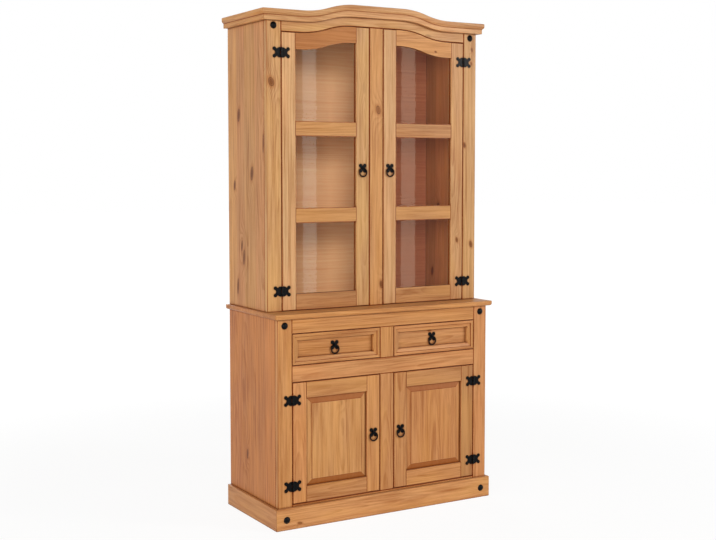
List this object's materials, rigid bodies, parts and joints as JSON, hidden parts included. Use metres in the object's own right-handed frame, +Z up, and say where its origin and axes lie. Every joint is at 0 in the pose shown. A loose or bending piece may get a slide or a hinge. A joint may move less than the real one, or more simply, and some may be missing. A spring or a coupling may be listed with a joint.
{
  "type": "buffet hutch cabinet",
  "caption": "Free-standing pine buffet with drawers and panelled doors, under a glazed hutch with arched door heads, a serpentine crown and black iron hinges and ring pulls.",
  "frame": {"origin": "on the floor, under the middle of the cabinet's width and of its counter's depth", "axes": "+X to the right as seen from the front, +Y to the back, +Z up"},
  "size_m": [0.984, 0.4334, 1.932],
  "materials": {
    "honey_pine": "satin wax, honey stain",
    "thin_board": "satin",
    "black_iron": "semi-matte black",
    "clear_glass": "polished",
    "catch_plastic": "matte"
  },
  "bodies": {
    "cabinet": {"base_back_panel": "thin_board", "base_bottom_board": "honey_pine", "base_bottom_rail": "honey_pine", "base_mid_rail": "honey_pine", "base_shelf": "honey_pine", "base_sides": "honey_pine", "base_stiles": "honey_pine", "base_top_rail": "honey_pine", "counter_top": "honey_pine", "crown_front": "honey_pine", "crown_returns": "honey_pine", "door_catches": "catch_plastic", "door_muntin": "honey_pine", "drawer_muntin": "honey_pine", "drawer_runners": "honey_pine", "frame_hinge_leaves": "black_iron", "hutch_arched_rail": "honey_pine", "hutch_back_panel": "thin_board", "hutch_bottom_board": "honey_pine", "hutch_centre_stile": "honey_pine", "hutch_shelves": "honey_pine", "hutch_sides": "honey_pine", "hutch_stiles": "honey_pine", "hutch_top_board": "honey_pine", "nail_heads": "black_iron", "plinth_front": "honey_pine", "plinth_returns": "honey_pine"},
    "base_door_left": {"base_door_left_ironwork": "black_iron", "base_door_left_panel": "honey_pine", "base_door_left_rails": "honey_pine", "base_door_left_stiles": "honey_pine"},
    "base_door_left_ring": {"base_door_left_ring": "black_iron"},
    "base_door_right": {"base_door_right_ironwork": "black_iron", "base_door_right_panel": "honey_pine", "base_door_right_rails": "honey_pine", "base_door_right_stiles": "honey_pine"},
    "base_door_right_ring": {"base_door_right_ring": "black_iron"},
    "hutch_door_left": {"hutch_door_left_arched_rail": "honey_pine", "hutch_door_left_glass": "clear_glass", "hutch_door_left_ironwork": "black_iron", "hutch_door_left_rails": "honey_pine", "hutch_door_left_stiles": "honey_pine"},
    "hutch_door_left_ring": {"hutch_door_left_ring": "black_iron"},
    "hutch_door_right": {"hutch_door_right_arched_rail": "honey_pine", "hutch_door_right_glass": "clear_glass", "hutch_door_right_ironwork": "black_iron", "hutch_door_right_rails": "honey_pine", "hutch_door_right_stiles": "honey_pine"},
    "hutch_door_right_ring": {"hutch_door_right_ring": "black_iron"},
    "drawer_left": {"drawer_left_box": "honey_pine", "drawer_left_front_board": "honey_pine", "drawer_left_moulded_frame": "honey_pine", "drawer_left_pull_plate": "black_iron"},
    "drawer_left_ring": {"drawer_left_ring": "black_iron"},
    "drawer_right": {"drawer_right_box": "honey_pine", "drawer_right_front_board": "honey_pine", "drawer_right_moulded_frame": "honey_pine", "drawer_right_pull_plate": "black_iron"},
    "drawer_right_ring": {"drawer_right_ring": "black_iron"}
  },
  "joints": [
    {"name": "base_door_left_hinge", "type": "hinge", "parent": "cabinet", "child": "base_door_left", "pos_m": [-0.4065, -0.20065, 0.3155], "axis": [0, 0, -1], "range_deg": [0, 165]},
    {"name": "hutch_door_left_hinge", "type": "hinge", "parent": "cabinet", "child": "hutch_door_left", "pos_m": [-0.4065, -0.12115, 1.306], "axis": [0, 0, -1], "range_deg": [0, 165]},
    {"name": "drawer_left_slide", "type": "slide", "parent": "cabinet", "child": "drawer_left", "axis": [0, -1, 0], "range_m": [0, 0.27]},
    {"name": "base_door_right_hinge", "type": "hinge", "parent": "cabinet", "child": "base_door_right", "pos_m": [0.4065, -0.20065, 0.3155], "axis": [0, 0, 1], "range_deg": [0, 165]},
    {"name": "hutch_door_right_hinge", "type": "hinge", "parent": "cabinet", "child": "hutch_door_right", "pos_m": [0.4065, -0.12115, 1.306], "axis": [0, 0, 1], "range_deg": [0, 165]},
    {"name": "drawer_right_slide", "type": "slide", "parent": "cabinet", "child": "drawer_right", "axis": [0, -1, 0], "range_m": [0, 0.27]},
    {"name": "base_door_left_ring_swing", "type": "hinge", "parent": "base_door_left", "child": "base_door_left_ring", "pos_m": [-0.061, -0.20195, 0.319], "axis": [-1, 0, 0], "range_deg": [0, 170]},
    {"name": "hutch_door_left_ring_swing", "type": "hinge", "parent": "hutch_door_left", "child": "hutch_door_left_ring", "pos_m": [-0.061, -0.12245, 1.3225], "axis": [-1, 0, 0], "range_deg": [0, 170]},
    {"name": "drawer_left_ring_swing", "type": "hinge", "parent": "drawer_left", "child": "drawer_left_ring", "pos_m": [-0.21875, -0.18195, 0.6645], "axis": [-1, 0, 0], "range_deg": [0, 150]},
    {"name": "base_door_right_ring_swing", "type": "hinge", "parent": "base_door_right", "child": "base_door_right_ring", "pos_m": [0.061, -0.20195, 0.319], "axis": [-1, 0, 0], "range_deg": [0, 170]},
    {"name": "hutch_door_right_ring_swing", "type": "hinge", "parent": "hutch_door_right", "child": "hutch_door_right_ring", "pos_m": [0.061, -0.12245, 1.3225], "axis": [-1, 0, 0], "range_deg": [0, 170]},
    {"name": "drawer_right_ring_swing", "type": "hinge", "parent": "drawer_right", "child": "drawer_right_ring", "pos_m": [0.21875, -0.18195, 0.6645], "axis": [-1, 0, 0], "range_deg": [0, 150]}
  ]
}
